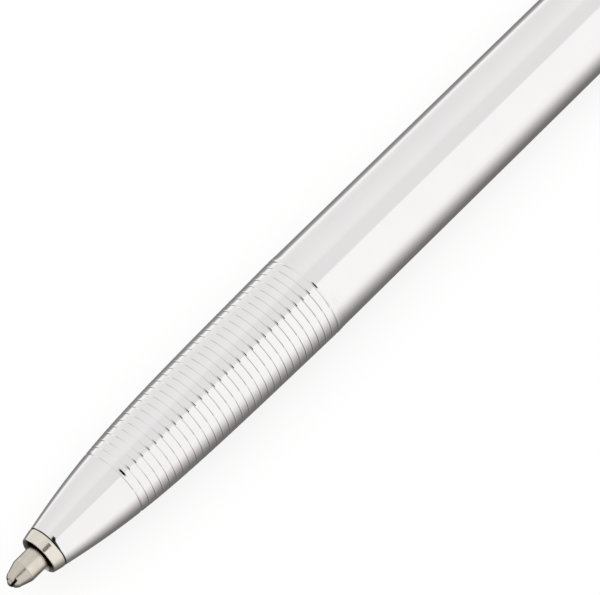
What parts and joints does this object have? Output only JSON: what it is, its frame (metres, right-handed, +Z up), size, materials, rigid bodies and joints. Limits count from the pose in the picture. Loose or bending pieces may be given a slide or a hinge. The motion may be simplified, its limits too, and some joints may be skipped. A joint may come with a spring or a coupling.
{
  "type": "space pen",
  "caption": "Retractable ball pen with a pressurised cartridge: chromed two-part barrel, ring-grooved grip, top plunger, side release button and pocket clip.",
  "frame": {"origin": "centre of the bounding box's underside, with the pen lying on its barrel and clip", "axes": "+X along the pen from the point to the plunger, +Z up, clip low on the +Y side, side button high on the -Y side"},
  "size_m": [0.131, 0.0128, 0.0096],
  "materials": {
    "chrome": "mirror",
    "nickel": "turned, semi-bright",
    "spring_steel": "satin",
    "brass": "turned",
    "carbide": "polished",
    "ink": "thick paste",
    "sealant": "dull"
  },
  "bodies": {
    "lower_half": {"lower_barrel": "chrome", "nose_ring": "nickel", "return_spring": "spring_steel"},
    "upper_half": {"upper_barrel": "chrome", "connector_bush": "brass", "crown": "chrome", "guide_bush": "brass", "latch_leaf": "spring_steel"},
    "plunger": {"refill_cup": "brass", "plunger_rod": "spring_steel", "catch_collar": "spring_steel", "plunger_cap": "chrome"},
    "cartridge": {"refill_ball": "carbide", "refill_nib": "nickel", "refill_neck": "nickel", "refill_tube": "brass", "ink_column": "ink", "float_piston": "sealant", "tail_plug": "brass"},
    "button": {"side_button": "chrome"},
    "clip": {"clip": "chrome"}
  },
  "joints": [
    {"name": "barrel_pull", "type": "slide", "parent": "lower_half", "child": "upper_half", "axis": [1, 0, 0], "range_m": [0, 0.025]},
    {"name": "plunger_slide", "type": "slide", "parent": "upper_half", "child": "plunger", "axis": [1, 0, 0], "range_m": [-0.0005, 0.0055]},
    {"name": "refill_slide", "type": "slide", "parent": "lower_half", "child": "cartridge", "axis": [1, 0, 0], "range_m": [-0.0005, 0.0055], "deforming": ["return_spring"]},
    {"name": "button_press", "type": "slide", "parent": "upper_half", "child": "button", "axis": [0, 0.8929, -0.4503], "range_m": [0, 0.0005], "stiffness_N_per_m": 2000, "deforming": ["latch_leaf"]},
    {"name": "clip_flex", "type": "hinge", "parent": "upper_half", "child": "clip", "pos_m": [0.05295, 0.00317, 0.00281], "axis": [0, -0.4503, -0.8929], "range_deg": [0, 4], "stiffness_Nm_per_rad": 2.45}
  ],
  "couplings": [
    {"joint": "refill_slide", "follows": "plunger_slide", "ratio": 1}
  ]
}
